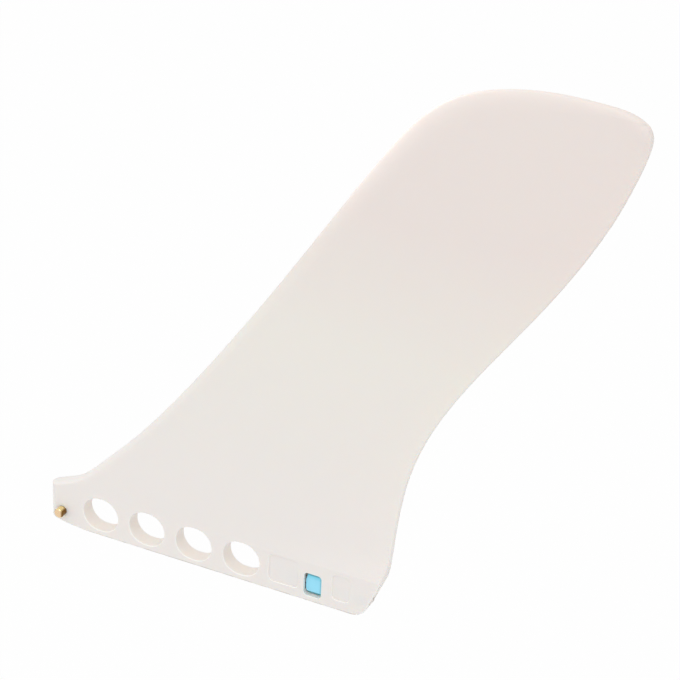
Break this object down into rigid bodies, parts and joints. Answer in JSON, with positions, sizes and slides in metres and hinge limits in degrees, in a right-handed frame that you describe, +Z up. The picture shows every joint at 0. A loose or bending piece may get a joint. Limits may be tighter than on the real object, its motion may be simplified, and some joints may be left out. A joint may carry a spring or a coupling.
{
  "type": "paddleboard fin",
  "caption": "Centre fin for a paddleboard: swept foil blade on a slotted tongue with a cross pin in front and a quarter-turn latch behind.",
  "frame": {"origin": "on the cross pin's axis, in the fin's middle plane", "axes": "+X from the leading edge to the rear, +Y across the fin along the cross pin, +Z up the blade from the tongue"},
  "size_m": [0.3095, 0.018, 0.3028],
  "materials": {
    "body": "satin white glass-filled nylon",
    "pin": "turned, bright",
    "latch": "light blue acetal, satin",
    "spindle": "white acetal, satin",
    "spring": "drawn wire"
  },
  "bodies": {
    "fin": {"fin_body": "body", "front_pin": "pin", "latch_spring": "spring"},
    "latch": {"latch_bar": "latch", "latch_spindle": "spindle"}
  },
  "joints": [
    {"name": "latch_turn", "type": "hinge", "parent": "fin", "child": "latch", "pos_m": [0.1514, 0, 0.00125], "axis": [1, 0, 0], "range_deg": [0, 90]}
  ]
}
